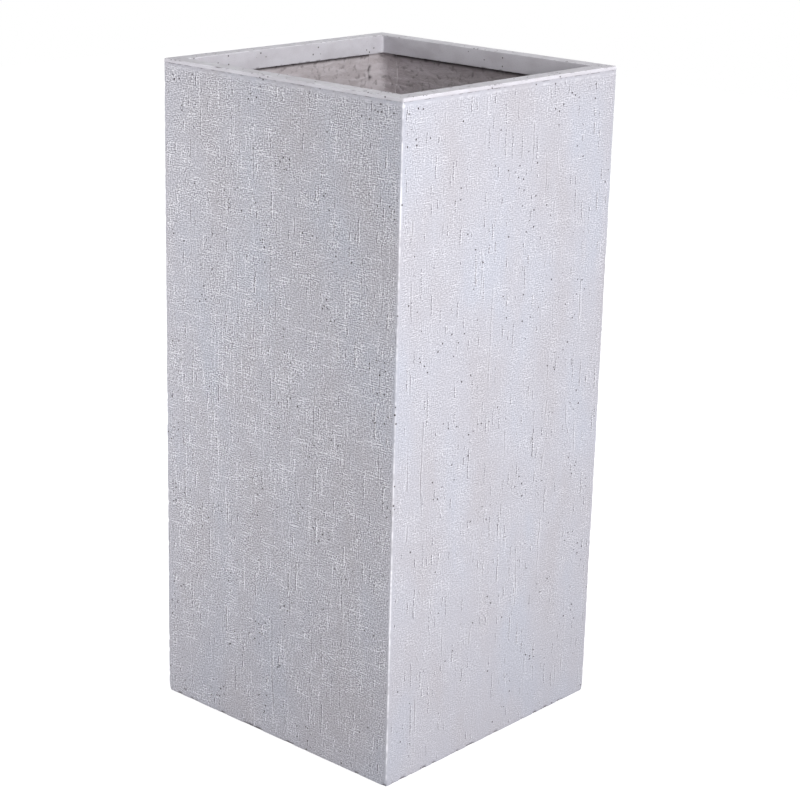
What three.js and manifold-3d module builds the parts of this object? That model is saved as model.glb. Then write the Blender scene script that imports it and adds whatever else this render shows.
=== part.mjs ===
// A tall square planter of cast stone-resin backed with glass-fibre mat, in millimetres, +Z up.
// The origin is the centre of the underside. The front faces -Y and the left faces -X.
//
// The planter is a lay-up, so its pieces are the layers in the order in which they are made: a face coat that
// takes the mould's surface, a mat behind each wall, lapped strips in the corners, a cast base with a drain
// hole, a cove that bonds the base to the walls, and a cast rim collar that caps the walls and hangs inside the
// mouth. A rubber plug closes the drain hole.

import * as THREE from "three";
import { mergeVertices } from "three/addons/utils/BufferGeometryUtils.js";
import Module from "manifold-3d";

const wasm = await Module();
wasm.setup();

// ---- Driving dimensions (mm) ----------------------------------------------------------------------------------

// Overall
const outerWidth = 330;
const height = 705;
const arrisRadius = 2;

// Walls
const coatThickness = 2.5;
const matThickness = 4;

// Rim collar: a flat top of rimWidth, a lip over the wall's edge, and a band collarHeight deep inside the mouth
const rimWidth = 18.5;
const collarHeight = 20;
const lipHeight = 4;
const topArris = 1.2;
const mouthArris = 0.8;
const mouthCornerRadius = 1.5;

// Base slab
const floorThickness = 15;
const footHeight = 4.5;
const footArris = 3.5;
const drainHoleDiameter = 26;

// Lapped corner strips and floor cove
const stripLeg = 25;
const stripThickness = 1.6;
const stripFilletRadius = 10;
const coveRadius = 12;
const featherEdge = 0.6;

// Drain plug
const plugClearance = 0.4;
const plugTaper = 1;
const plugHeadDiameter = 36;
const plugHeadThickness = 4;
const plugHeadRounding = 1.5;
const plugRecess = 2;
const plugWall = 3.5;

// Facets
const arcSteps = 6;
const roundSides = 48;

// ---- Derived places -------------------------------------------------------------------------------------------

const quarterTurn = Math.PI / 2;
const outerHalf = outerWidth / 2;
const coatInnerHalf = outerHalf - coatThickness;
const wallThickness = coatThickness + matThickness;
const innerHalf = outerHalf - wallThickness;
const wallTop = height - lipHeight;
const collarBottom = height - collarHeight;
const coveTop = floorThickness + coveRadius + featherEdge;

// ---- Finishes -------------------------------------------------------------------------------------------------

const finish = {
  faceCoat: () => new THREE.MeshStandardMaterial({ color: 0xc8c7cf, roughness: 0.88, metalness: 0 }),
  castStone: () => new THREE.MeshStandardMaterial({ color: 0xc9c6cc, roughness: 0.8, metalness: 0 }),
  laminate: () => new THREE.MeshStandardMaterial({ color: 0xa69e9c, roughness: 0.92, metalness: 0 }),
  rubber: () => new THREE.MeshStandardMaterial({ color: 0x2a2a2c, roughness: 0.7, metalness: 0 }),
};

// ---- Geometry helpers -----------------------------------------------------------------------------------------

// A closed geometry as a solid, its shared vertices merged so that only positions are left.
function toSolid(geometry) {
  const bare = geometry.clone();
  bare.deleteAttribute("normal");
  bare.deleteAttribute("uv");
  const merged = mergeVertices(bare, 1e-4);
  return new wasm.Manifold(
    new wasm.Mesh({
      numProp: 3,
      vertProperties: merged.attributes.position.array,
      triVerts: new Uint32Array(merged.index.array),
    }),
  );
}

// A solid as a flat-shaded geometry.
function toGeometry(solid) {
  const mesh = solid.getMesh();
  const flat = new THREE.BufferGeometry()
    .setAttribute("position", new THREE.BufferAttribute(mesh.vertProperties.slice(), 3))
    .setIndex(new THREE.BufferAttribute(mesh.triVerts.slice(), 1))
    .toNonIndexed();
  flat.computeVertexNormals();
  return flat;
}

// A square with rounded corners, traced anticlockwise.
function roundedSquare(half, radius) {
  const middle = half - radius;
  const outline = new THREE.Shape();
  outline.moveTo(half, -middle);
  outline.absarc(middle, middle, radius, 0, quarterTurn);
  outline.absarc(-middle, middle, radius, quarterTurn, 2 * quarterTurn);
  outline.absarc(-middle, -middle, radius, 2 * quarterTurn, 3 * quarterTurn);
  outline.absarc(middle, -middle, radius, 3 * quarterTurn, 4 * quarterTurn);
  return outline;
}

// A square with sharp corners, to cut from a shape.
function sharpSquare(half) {
  const ends = [
    [half, half],
    [half, -half],
    [-half, -half],
    [-half, half],
  ];
  return new THREE.Path(ends.map(([x, y]) => new THREE.Vector2(x, y)));
}

// An outline carried straight up from one height to another.
function prism(outline, bottom, top) {
  const options = { depth: top - bottom, bevelEnabled: false, curveSegments: arcSteps };
  return new THREE.ExtrudeGeometry(outline, options).translate(0, 0, bottom);
}

// Rounded squares at the given levels, joined in order into one skin. With closed true the last level joins the
// first, which makes a ring; otherwise the two end levels are filled flat.
function squareSkin(levels, closed) {
  const positions = [];
  const faces = [];
  for (const { half, z, radius } of levels) {
    for (const point of roundedSquare(half, radius).getPoints(arcSteps).slice(1)) {
      positions.push(point.x, point.y, z);
    }
  }
  const around = positions.length / 3 / levels.length;
  const spans = closed ? levels.length : levels.length - 1;
  for (let i = 0; i < spans; i++) {
    const here = i * around;
    const next = ((i + 1) % levels.length) * around;
    for (let j = 0; j < around; j++) {
      const k = (j + 1) % around;
      faces.push(here + j, here + k, next + k, here + j, next + k, next + j);
    }
  }
  if (!closed) {
    const top = (levels.length - 1) * around;
    for (let j = 1; j < around - 1; j++) {
      faces.push(0, j + 1, j, top, top + j, top + j + 1);
    }
  }
  return new THREE.BufferGeometry()
    .setAttribute("position", new THREE.Float32BufferAttribute(positions, 3))
    .setIndex(faces);
}

// A section carried round the square plan. Its points are insets from the outer faces with heights, in order up
// the outside, across the top, down the inside and back.
function squareRing(section) {
  const levels = section.map(([inset, z, radius]) => ({ half: outerHalf - inset, z, radius }));
  return squareSkin(levels, true);
}

// ---- The scene graph ------------------------------------------------------------------------------------------

const planter = new THREE.Group();

function addPiece(name, geometry, material, parent = planter) {
  const piece = new THREE.Mesh(geometry, material);
  piece.name = name;
  parent.add(piece);
  return piece;
}

// The base slab fills the space between the wall mats. Its foot runs out under the walls to the outer faces, and
// ends in the worn arris that the planter stands on. The drain hole goes straight through the middle.
function addBaseSlab() {
  const foot = squareSkin(
    [
      { half: outerHalf - footArris, z: 0, radius: arrisRadius },
      { half: outerHalf, z: footArris, radius: arrisRadius },
      { half: outerHalf, z: footHeight, radius: arrisRadius },
    ],
    false,
  );
  const floor = new THREE.BoxGeometry(2 * innerHalf, 2 * innerHalf, floorThickness - footArris);
  floor.translate(0, 0, (floorThickness + footArris) / 2);
  const holeRadius = drainHoleDiameter / 2;
  const hole = new THREE.CylinderGeometry(holeRadius, holeRadius, 2 * floorThickness, roundSides);
  hole.rotateX(quarterTurn);
  hole.translate(0, 0, floorThickness / 2);
  const slab = toSolid(foot).add(toSolid(floor)).subtract(toSolid(hole));
  addPiece("base_slab", toGeometry(slab), finish.castStone());
}

// The face coat is one sleeve from the foot to the rim's lip, with worn vertical arrises outside and sharp corners
// inside, where the mats meet.
function addFaceCoat() {
  const outline = roundedSquare(outerHalf, arrisRadius);
  outline.holes.push(sharpSquare(coatInnerHalf));
  addPiece("face_coat", prism(outline, footHeight, wallTop), finish.faceCoat());
}

// Four mats line the coat. The front and back mats run into the corners, and the side mats butt between them.
function addWallMats() {
  const tall = wallTop - footHeight;
  const midHeight = (wallTop + footHeight) / 2;
  const offset = coatInnerHalf - matThickness / 2;
  const long = new THREE.BoxGeometry(2 * coatInnerHalf, matThickness, tall);
  const short = new THREE.BoxGeometry(matThickness, 2 * innerHalf, tall);
  addPiece("wall_mat_front", long, finish.laminate()).position.set(0, -offset, midHeight);
  addPiece("wall_mat_right", short, finish.laminate()).position.set(offset, 0, midHeight);
  addPiece("wall_mat_back", long.clone(), finish.laminate()).position.set(0, offset, midHeight);
  addPiece("wall_mat_left", short.clone(), finish.laminate()).position.set(-offset, 0, midHeight);
}

// A lapped strip covers the joint of two mats in each inner corner, from the cove up to the collar. Its legs thin
// to a feathered edge, and the corner between them is filled to a round.
function addCornerStrips() {
  const filletStart = stripThickness + stripFilletRadius;
  const section = new THREE.Shape();
  section.moveTo(0, 0);
  section.lineTo(stripLeg, 0);
  section.lineTo(stripLeg, featherEdge);
  section.lineTo(filletStart, stripThickness);
  section.absarc(filletStart, filletStart, stripFilletRadius, 3 * quarterTurn, 2 * quarterTurn, true);
  section.lineTo(featherEdge, stripLeg);
  section.lineTo(0, stripLeg);
  ["front_left", "front_right", "back_right", "back_left"].forEach((corner, i) => {
    const place = new THREE.Group();
    place.rotation.z = i * quarterTurn;
    planter.add(place);
    const strip = prism(section, coveTop, collarBottom);
    const piece = addPiece(`corner_strip_${corner}`, strip, finish.laminate(), place);
    piece.position.set(-innerHalf, -innerHalf, 0);
  });
}

// The cove is a concave fillet of putty round the floor, feathered out on the slab and on the mats.
function addFloorCove() {
  const foot = wallThickness + coveRadius + featherEdge;
  const section = [
    [wallThickness, floorThickness, featherEdge],
    [wallThickness, coveTop, featherEdge],
  ];
  for (let step = 0; step <= arcSteps; step++) {
    const angle = 2 * quarterTurn + (step / arcSteps) * quarterTurn;
    const inset = foot + coveRadius * Math.cos(angle);
    const z = coveTop + coveRadius * Math.sin(angle);
    section.push([inset, z, featherEdge]);
  }
  section.push([foot, floorThickness, featherEdge]);
  addPiece("floor_cove", squareRing(section), finish.laminate());
}

// The rim collar caps the walls with a thin lip and hangs inside them as a deep band, so that the mouth is
// narrower than the cavity below it.
function addRimCollar() {
  const section = [
    [0, wallTop, arrisRadius],
    [0, height - topArris, arrisRadius],
    [topArris, height, arrisRadius],
    [rimWidth - mouthArris, height, mouthCornerRadius],
    [rimWidth, height - mouthArris, mouthCornerRadius],
    [rimWidth, collarBottom, mouthCornerRadius],
    [wallThickness, collarBottom, mouthCornerRadius],
    [wallThickness, wallTop, mouthCornerRadius],
  ];
  addPiece("rim_collar", squareRing(section), finish.castStone());
}

// The drain plug is a rubber stopper. Its flanged head rests on the floor round the hole, and its hollow stem
// tapers down through the hole and ends short of the underside.
function addDrainPlug() {
  const stemTop = drainHoleDiameter / 2 - plugClearance;
  const stemEnd = stemTop - plugTaper;
  const headRadius = plugHeadDiameter / 2;
  const headTop = floorThickness + plugHeadThickness;
  const hollow = stemEnd - plugWall;
  const profile = new THREE.Path();
  profile.moveTo(0, floorThickness);
  profile.lineTo(hollow, floorThickness);
  profile.lineTo(hollow, plugRecess);
  profile.lineTo(stemEnd, plugRecess);
  profile.lineTo(stemTop, floorThickness);
  profile.lineTo(headRadius, floorThickness);
  profile.lineTo(headRadius, headTop - plugHeadRounding);
  profile.absarc(headRadius - plugHeadRounding, headTop - plugHeadRounding, plugHeadRounding, 0, quarterTurn);
  profile.lineTo(0, headTop);
  const plug = new THREE.LatheGeometry(profile.getPoints(arcSteps), roundSides);
  plug.rotateX(quarterTurn);
  addPiece("drain_plug", plug, finish.rubber());
}

addBaseSlab();
addFaceCoat();
addWallMats();
addCornerStrips();
addFloorCove();
addRimCollar();
addDrainPlug();

export default planter;
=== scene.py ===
"""A tall square planter of cast stone-resin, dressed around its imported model.

The planter is a lay-up: a woven face coat, mats behind it, lapped corner strips, a cast base with a cove, a
cast rim collar and a rubber drain plug. Each is a class below. Lengths are in metres, and the front wall
faces -Y.
"""

import itertools
import logging
import math
from dataclasses import dataclass, field
from enum import Enum
from typing import Any, Callable, Sequence

import bpy
import numpy as np
from mathutils import Matrix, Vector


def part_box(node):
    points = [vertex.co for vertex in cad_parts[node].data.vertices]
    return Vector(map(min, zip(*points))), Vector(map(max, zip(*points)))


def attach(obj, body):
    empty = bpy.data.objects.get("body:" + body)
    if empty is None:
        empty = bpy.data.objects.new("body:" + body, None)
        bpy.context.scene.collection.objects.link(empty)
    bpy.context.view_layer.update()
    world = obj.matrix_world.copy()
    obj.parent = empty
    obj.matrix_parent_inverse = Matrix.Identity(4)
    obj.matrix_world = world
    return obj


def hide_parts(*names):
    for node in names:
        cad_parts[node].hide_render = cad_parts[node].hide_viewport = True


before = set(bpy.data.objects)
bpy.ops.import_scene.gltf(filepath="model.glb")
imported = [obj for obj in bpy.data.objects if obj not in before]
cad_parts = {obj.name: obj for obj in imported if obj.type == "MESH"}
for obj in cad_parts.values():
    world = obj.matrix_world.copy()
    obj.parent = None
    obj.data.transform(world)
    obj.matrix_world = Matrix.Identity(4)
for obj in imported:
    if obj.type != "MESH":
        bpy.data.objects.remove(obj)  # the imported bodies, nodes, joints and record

LOG = logging.getLogger("planter")
MM = 0.001
QUARTER_TURN = math.pi / 2

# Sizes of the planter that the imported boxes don't give, as its maker would state them.
ARRIS_RADIUS = 2.0 * MM
RIM_WIDTH = 18.5 * MM
MOUTH_CORNER_RADIUS = 1.5 * MM
STRIP_THICKNESS = 1.6 * MM
STRIP_FILLET_RADIUS = 10 * MM
FOOT_ARRIS = 2.0 * MM
FOOT_CLEARANCE = 0.3 * MM
FEATHER_EDGE = 0.6 * MM
DRAIN_HOLE_RADIUS = 13 * MM
PLUG_STEM_TOP_RADIUS = 12.6 * MM
PLUG_STEM_END_RADIUS = 11.6 * MM
PLUG_WALL = 3.5 * MM


class Side(Enum):
    """The four walls, each with the quarter turns that bring the front wall to it."""

    FRONT = 0
    RIGHT = 1
    BACK = 2
    LEFT = 3


# How strongly the hessian printed on each wall, and with it how strong the painted light and shade on
# its threads are, strongest on the left wall, which the light rakes. In the photograph the left wall's
# print is about twice the front's, and the two walls out of sight lie between them.
PRINT_AND_SHADE_STRENGTH = {Side.FRONT: 0.5, Side.RIGHT: 0.8, Side.BACK: 0.85, Side.LEFT: 1.0}


class Corner(Enum):
    """The four inner corners, each with the quarter turns that bring the front left one to it."""

    FRONT_LEFT = 0
    FRONT_RIGHT = 1
    BACK_RIGHT = 2
    BACK_LEFT = 3


# ---- Noise and outlines --------------------------------------------------------------------------


def value_noise(points: np.ndarray, seed: int) -> np.ndarray:
    """Smooth noise, -1 to 1, with one cell per unit.

    A random value stands at each whole-number point. The eight round a point are blended by 3t^2 - 2t^3
    along each axis, where t is the point's place in its cell.

    Args:
        points: places, with x, y and z on the last axis.
        seed: which pattern.

    Returns:
        One value per place.
    """
    base = np.floor(points).astype(np.int64)
    part = points - base
    blend = part * part * (3 - 2 * part)
    total = np.zeros(points.shape[:-1])
    for corner in itertools.product((0, 1), repeat=3):
        at = base + np.array(corner)
        key = at[..., 0] * 73856093 ^ at[..., 1] * 19349663 ^ at[..., 2] * 83492791 ^ seed * 40503
        key = ((key ^ (key >> 15)) * 2246822519) & 0xFFFFFFFF
        key = ((key ^ (key >> 13)) * 3266489917) & 0xFFFFFFFF
        value = (key ^ (key >> 16)) / 2147483648.0 - 1
        total += value * np.prod(np.where(corner, blend, 1 - blend), axis=-1)
    return total


def fractal_noise(points: np.ndarray, size: Sequence[float], seed: int, octaves: int = 3) -> np.ndarray:
    """Noise with finer noise added to it, each octave half as large and half as strong.

    Args:
        points: places in metres.
        size: the largest cell along x, y and z, in metres.
        seed: which pattern.
        octaves: how many sizes of noise are added.

    Returns:
        One value per place, about -1 to 1.
    """
    scaled = points / np.asarray(size, float)
    total = np.zeros(points.shape[:-1])
    for octave in range(octaves):
        total += value_noise(scaled * 2**octave, seed + octave) / 2**octave
    return total / (2 - 0.5 ** (octaves - 1))


def smoothstep(low: float, high: float, value: np.ndarray) -> np.ndarray:
    """0 below low, 1 above high and 3t^2 - 2t^3 between them."""
    t = np.clip((value - low) / (high - low), 0, 1)
    return t * t * (3 - 2 * t)


def bump(value: np.ndarray, width: float) -> np.ndarray:
    """A bell of height 1 at zero: exp(-(value / width)^2)."""
    return np.exp(-((value / width) ** 2))


def turned(points: np.ndarray, quarter_turns: int) -> np.ndarray:
    """Points turned about Z: each quarter turn takes (x, y) to (-y, x).

    Args:
        points: places, with x, y and z on the last axis.
        quarter_turns: how many, from 0 to 3.

    Returns:
        The turned places.
    """
    x, y, z = points[..., 0], points[..., 1], points[..., 2]
    for _ in range(quarter_turns):
        x, y = -y, x
    return np.stack([x, y, z], axis=-1)


def rounded_outline(
    corners: Sequence[tuple[float, float, float]], spacing: float, arc_steps: int = 5
) -> np.ndarray:
    """A closed outline with rounded corners and evenly divided sides.

    Each corner is replaced by an arc that touches both its sides: with unit vectors a and b along the sides
    and half angle h between them, the arc starts radius / tan(h) from the corner, and its centre lies along
    a + b.

    Args:
        corners: (across, up, radius) of each corner in order; a radius of 0 stays sharp.
        spacing: the longest step along a side.
        arc_steps: steps in each arc.

    Returns:
        The outline's points, without repeating the first.
    """
    places = np.array([corner[:2] for corner in corners], float)
    arcs = []
    for i, (_, _, radius) in enumerate(corners):
        here, before, after = places[i], places[i - 1], places[(i + 1) % len(places)]
        if radius == 0:
            arcs.append(here[None])
            continue
        a = (before - here) / np.linalg.norm(before - here)
        b = (after - here) / np.linalg.norm(after - here)
        half = 0.5 * math.acos(float(np.clip(a @ b, -1, 1)))
        start = here + a * radius / math.tan(half)
        centre = here + (a + b) / np.linalg.norm(a + b) * radius / math.sin(half)
        turn = (math.pi - 2 * half) * np.sign(a[0] * b[1] - a[1] * b[0]) * -1
        angle = turn * np.linspace(0, 1, arc_steps + 1)[:, None]
        spoke = start - centre
        arcs.append(centre + spoke * np.cos(angle) + np.array([-spoke[1], spoke[0]]) * np.sin(angle))
    points = []
    for i, arc in enumerate(arcs):
        following = arcs[(i + 1) % len(arcs)][0]
        steps = max(1, math.ceil(float(np.linalg.norm(following - arc[-1])) / spacing))
        share = np.arange(1, steps)[:, None] / steps
        points += [arc, arc[-1] + (following - arc[-1]) * share]
    return np.concatenate(points)


# ---- Meshes --------------------------------------------------------------------------------------


def grid_faces(rows: int, columns: int, wrap_rows: bool, wrap_columns: bool) -> np.ndarray:
    """The quads of a grid whose vertices are numbered row by row.

    Args:
        rows: vertices down.
        columns: vertices across.
        wrap_rows: whether the last row joins the first.
        wrap_columns: whether the last column joins the first.

    Returns:
        Four vertex numbers per quad, in the order (i, j), (i, j + 1), (i + 1, j + 1), (i + 1, j).
    """
    i = np.arange(rows if wrap_rows else rows - 1)[:, None]
    j = np.arange(columns if wrap_columns else columns - 1)[None]
    below, beside = (i + 1) % rows, (j + 1) % columns
    quads = [i * columns + j, i * columns + beside, below * columns + beside, below * columns + j]
    return np.stack(np.broadcast_arrays(*quads), axis=-1).reshape(-1, 4)


def grid_normals(points: np.ndarray, wrap_rows: bool, wrap_columns: bool) -> np.ndarray:
    """Unit normals of a grid of points: the cross products of its central differences both ways.

    Args:
        points: the grid, with x, y and z on the last axis.
        wrap_rows: whether the last row joins the first.
        wrap_columns: whether the last column joins the first.

    Returns:
        One unit normal per point.
    """

    def difference(axis: int, wrap: bool) -> np.ndarray:
        """The central difference along an axis."""
        if wrap:
            return np.roll(points, -1, axis) - np.roll(points, 1, axis)
        return np.gradient(points, axis=axis)

    normal = np.cross(difference(1, wrap_columns), difference(0, wrap_rows))
    return normal / np.maximum(np.linalg.norm(normal, axis=-1, keepdims=True), 1e-12)


@dataclass
class Surface:
    """A mesh under construction: its vertices, its faces and what its material reads at each vertex.

    Tone runs from -1, a dark hollow, over 0, the plain finish, to 1, a pale worn edge. In the slits, under
    the collar and along its lower edge the dark is painted shade, and on the slits' lips the pale is a
    painted highlight. Print depth is how strongly the hessian is printed there, from 0 to 1, and with it
    how strong the painted light and shade on its threads are.
    """

    vertices: np.ndarray
    faces: list[np.ndarray]
    tone: np.ndarray
    flat_faces: list[np.ndarray] = field(default_factory=list)
    print_depth: np.ndarray | None = None

    def make(self, name: str, material: bpy.types.Material) -> bpy.types.Object:
        """Puts the surface in a new object at the origin.

        Args:
            name: the piece's name.
            material: its finish.

        Returns:
            The object, smooth shaded apart from the flat faces.
        """
        polygons = [face for block in self.faces for face in block.tolist()]
        smooth_count = len(polygons)
        polygons += [face.tolist() for face in self.flat_faces]
        mesh = bpy.data.meshes.new(name)
        mesh.from_pydata(self.vertices.tolist(), [], polygons)
        smooth = np.arange(len(polygons)) < smooth_count
        mesh.polygons.foreach_set("use_smooth", smooth)
        for label, values in (("tone", self.tone), ("print_depth", self.print_depth)):
            if values is not None:
                layer = mesh.attributes.new(label, "FLOAT", "POINT")
                layer.data.foreach_set("value", values.astype(np.float32).ravel())
        mesh.materials.append(material)
        mesh.validate()
        mesh.update()
        piece = bpy.data.objects.new(name, mesh)
        bpy.context.scene.collection.objects.link(piece)
        return piece


def closed_panel(
    side: Side, points: np.ndarray, back: np.ndarray, tone: np.ndarray, print_depth: np.ndarray | None = None
) -> Surface:
    """A grid of points closed with flat edges and a flat back, and turned from the front to its own wall.

    Args:
        side: the wall.
        points: the grid, row by row upwards.
        back: the back's corners, the lower two first, and of each two the one at the grid's first column.
        tone: the tone of each point.
        print_depth: the print depth of each point.

    Returns:
        The closed surface.
    """
    rows, columns = tone.shape
    number = np.arange(rows * columns).reshape(rows, columns)
    low_first, low_last, top_first, top_last = rows * columns + np.arange(4)
    flats = [
        np.concatenate([number[0], [low_last, low_first]])[::-1],
        np.concatenate([number[-1], [top_last, top_first]]),
        np.concatenate([number[:, 0], [top_first, low_first]]),
        np.concatenate([number[:, -1], [top_last, low_last]])[::-1],
        np.array([low_first, top_first, top_last, low_last]),
    ]
    vertices = turned(np.concatenate([points.reshape(-1, 3), back]), side.value)
    tones = np.append(tone, np.zeros(4))
    depths = None if print_depth is None else np.append(print_depth, np.zeros(4))
    return Surface(vertices, [grid_faces(rows, columns, False, False)], tones, flats, depths)


def fit(piece: bpy.types.Object, body: str, slot: str, *nodes: str) -> bpy.types.Object:
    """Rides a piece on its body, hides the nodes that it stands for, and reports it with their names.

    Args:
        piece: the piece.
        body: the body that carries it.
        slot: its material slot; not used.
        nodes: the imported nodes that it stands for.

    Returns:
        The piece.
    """
    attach(piece, body)
    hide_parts(*nodes)
    triangles = sum(len(polygon.vertices) - 2 for polygon in piece.data.polygons)
    LOG.info("%s: %d triangles, for %s", piece.name, triangles, ", ".join(nodes))
    return piece


@dataclass
class SquarePlan:
    """The planter's square plan, traced anticlockwise from the middle of the front.

    A point of it is anchor * (half - radius) + normal * radius, for any half width and corner radius, so
    the same columns serve a sharp square, a rounded one and a circle.
    """

    flat_steps: int
    arc_steps: int

    def __post_init__(self) -> None:
        """Works out the anchors and normals of every column."""
        along = np.linspace(-1, 1, self.flat_steps + 1)
        angle = np.linspace(0, QUARTER_TURN, self.arc_steps + 1)[1:-1]
        anchors = [np.stack([along, -np.ones_like(along), 0 * along], -1)]
        anchors.append(np.tile([1.0, -1.0, 0.0], (len(angle), 1)))
        normals = [np.tile([0.0, -1.0, 0.0], (len(along), 1))]
        normals.append(np.stack([np.sin(angle), -np.cos(angle), 0 * angle], -1))
        anchor, normal = np.concatenate(anchors), np.concatenate(normals)
        self.anchor = np.concatenate([turned(anchor, turn) for turn in range(4)])
        self.normal = np.concatenate([turned(normal, turn) for turn in range(4)])

    def skin(self, half: np.ndarray, height: np.ndarray, radius: np.ndarray) -> np.ndarray:
        """Rows of plan points, one row for each half width, height and corner radius.

        Args:
            half: the half width of each row.
            height: the height of each row.
            radius: the corner radius of each row.

        Returns:
            The points, row by row.
        """
        half, height, radius = (np.asarray(value)[:, None, None] for value in (half, height, radius))
        rows = self.anchor * (half - radius) + self.normal * radius
        rows[..., 2] = height[..., 0]
        return rows


@dataclass
class SquareRing:
    """A closed section carried round the square plan, as the collar, cove and base are."""

    plan: SquarePlan
    half: np.ndarray
    height: np.ndarray
    radius: np.ndarray

    def surface(self, relief: Callable[[np.ndarray, np.ndarray], tuple[np.ndarray, np.ndarray]]) -> Surface:
        """The ring's surface, moved along its normals.

        Args:
            relief: gives, for the points and their normals, how far each moves outwards and its tone.

        Returns:
            The finished surface.
        """
        points = self.plan.skin(self.half, self.height, self.radius)
        normals = grid_normals(points, True, True)
        offset, tone = relief(points, normals)
        points = points + normals * offset[..., None]
        rows, columns = points.shape[:2]
        faces = grid_faces(rows, columns, True, True)
        return Surface(points.reshape(-1, 3), [faces], tone.ravel())


# ---- Finishes ------------------------------------------------------------------------------------

Socket = bpy.types.NodeSocket
Tree = bpy.types.NodeTree
EASED = {"interpolation_type": "SMOOTHSTEP"}
CROWD_SIZE = 42 * MM


def linear(hex_colour: str) -> tuple[float, float, float, float]:
    """An sRGB hex colour as linear red, green, blue and alpha.

    Args:
        hex_colour: the colour, such as #d6d4db.

    Returns:
        The four channels, 0 to 1.
    """
    parts = [int(hex_colour[i : i + 2], 16) / 255 for i in (1, 3, 5)]
    channels = [c / 12.92 if c <= 0.04045 else ((c + 0.055) / 1.055) ** 2.4 for c in parts]
    return (*channels, 1.0)


def add_node(tree: Tree, kind: str, inputs: Sequence[Any] | dict[Any, Any] = (), **settings: Any) -> Any:
    """Adds a shader node to a tree.

    Args:
        tree: the node tree.
        kind: the node's type, such as Math or Mix.
        inputs: for each input in order, or by its name or number, a value to set or an output to link.
        settings: properties of the node.

    Returns:
        The new node's outputs.
    """
    node = tree.nodes.new("ShaderNode" + kind)
    for key, value in settings.items():
        setattr(node, key, value)
    for key, value in inputs.items() if isinstance(inputs, dict) else enumerate(inputs):
        if isinstance(value, bpy.types.NodeSocket):
            tree.links.new(value, node.inputs[key])
        else:
            node.inputs[key].default_value = value
    return node.outputs


def painted(tree: Tree, base: str, layers: Sequence[tuple[Socket, str]]) -> Socket:
    """A colour with others laid over it in order, each by its own mask.

    Args:
        tree: the node tree.
        base: the first colour, in hex.
        layers: a mask and a hex colour for each further coat.

    Returns:
        The mixed colour.
    """
    mixed = linear(base)
    for mask, colour in layers:
        mixed = add_node(tree, "Mix", {0: mask, 6: mixed, 7: linear(colour)}, data_type="RGBA")[2]
    return mixed


def toned(tree: Tree) -> tuple[Socket, Socket]:
    """The mesh's own tone as two masks: the pale, for worn edges and painted highlights, and the dark, for
    hollows and painted shade.

    Args:
        tree: the node tree.

    Returns:
        The pale mask and the dark mask, 0 to 1.
    """
    tone = add_node(tree, "Attribute", attribute_name="tone")["Fac"]
    pale_tone = add_node(tree, "MapRange", [tone, 0.0, 1.0], **EASED)[0]
    dark_tone = add_node(tree, "MapRange", [tone, 0.0, -1.0], **EASED)[0]
    return pale_tone, dark_tone


def cloudy(tree: Tree, place: Socket, size: Sequence[float], **values: float) -> Socket:
    """Noise whose cells have a real size, in metres along each axis: about 0.3 to 0.7, around 0.5."""
    scaled = add_node(tree, "VectorMath", [place, (*size, 1.0)[:3]], operation="DIVIDE")[0]
    return add_node(tree, "TexNoise", {"Vector": scaled, "Scale": 1.0, **values})["Fac"]


def beside_itself(tree: Tree, place: Socket, cell: Sequence[float], step: Sequence[float]) -> Socket:
    """Noise less the same noise moved by a step: bright on one side of each ridge and dark on the other,
    which the face coat uses as painted light and shade.

    Args:
        tree: the node tree.
        place: flat coordinates.
        cell: the noise's cell along and up, in metres.
        step: how far it is moved along and up, in metres.

    Returns:
        The difference, about -0.3 to 0.3.
    """
    moved = add_node(tree, "VectorMath", [place, (*step, 0.0)], operation="ADD")[0]
    both = [cloudy(tree, at, cell, Detail=1.0) for at in (place, moved)]
    return add_node(tree, "Math", both, operation="SUBTRACT")[0]


def bands(tree: Tree, place: Socket, spacing: float, direction: str, gate: Sequence[float]) -> Socket:
    """Thin wavy lines side by side, 0 to 1, cut into short bunches by noise.

    Args:
        tree: the node tree.
        place: flat coordinates.
        spacing: from one line to the next, in metres.
        direction: the axis across the lines, X or Y.
        gate: the size of a bunch along and up, in metres.

    Returns:
        The lines' mask.
    """
    # The wave node repeats each tenth of pi at a scale of 1.
    values = {"Scale": 0.1 * math.pi / spacing, "Distortion": 2.2, "Detail": 2.0, "Detail Scale": 0.8}
    wave = add_node(tree, "TexWave", {"Vector": place, **values}, bands_direction=direction)["Fac"]
    line = add_node(tree, "MapRange", [wave, 0.72, 1.0], **EASED)[0]
    bunch = cloudy(tree, place, gate, Detail=1.0)
    bunch = add_node(tree, "MapRange", [bunch, 0.54, 0.64], **EASED)[0]
    return add_node(tree, "Math", [line, bunch], operation="MULTIPLY")[0]


def along_walls(tree: Tree, place: Socket) -> Socket:
    """Flat coordinates on the walls: along them and up them, in metres.

    Along a wall either x or y stands still, so x + y measures along every wall. Half a metre is added, and
    the sum changes its sign where x is less than y, so it grows to the right on each wall and no wall
    repeats another.

    Args:
        tree: the node tree.
        place: Object coordinates.

    Returns:
        The flat coordinates.
    """
    x, y, z = add_node(tree, "SeparateXYZ", [place])
    side = add_node(tree, "Math", [x, y], operation="SUBTRACT")[0]
    side = add_node(tree, "Math", [side], operation="SIGN")[0]
    along = add_node(tree, "Math", [x, y], operation="ADD")[0]
    along = add_node(tree, "Math", [along, 0.5], operation="ADD")[0]
    along = add_node(tree, "Math", [along, side], operation="MULTIPLY")[0]
    return add_node(tree, "CombineXYZ", [along, z])[0]


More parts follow.
